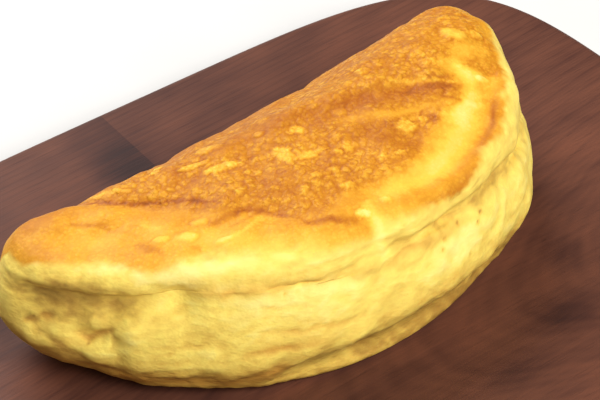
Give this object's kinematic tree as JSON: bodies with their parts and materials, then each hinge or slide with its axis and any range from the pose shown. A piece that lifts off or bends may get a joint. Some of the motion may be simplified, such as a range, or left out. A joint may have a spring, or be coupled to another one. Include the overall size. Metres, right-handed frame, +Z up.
{
  "type": "folded omelette",
  "caption": "Thick, fluffy omelette folded into a half moon with a browned top and open yellow crumb, served on a rounded walnut board.",
  "frame": {"origin": "centre of the board's underside", "axes": "+X along the board's long side and the omelette's fold, +Y towards the folded edge, +Z up"},
  "size_m": [0.3, 0.24, 0.0717],
  "materials": {
    "walnut": "dark reddish-brown walnut, oiled, satin, with straight and wavy grain along the board",
    "cooked_egg": "cooked egg: golden to brown blistered skin on top, pale yellow moist crumb at the side"
  },
  "bodies": {
    "root": {"board": "walnut", "omelette": "cooked_egg"}
  },
  "joints": []
}
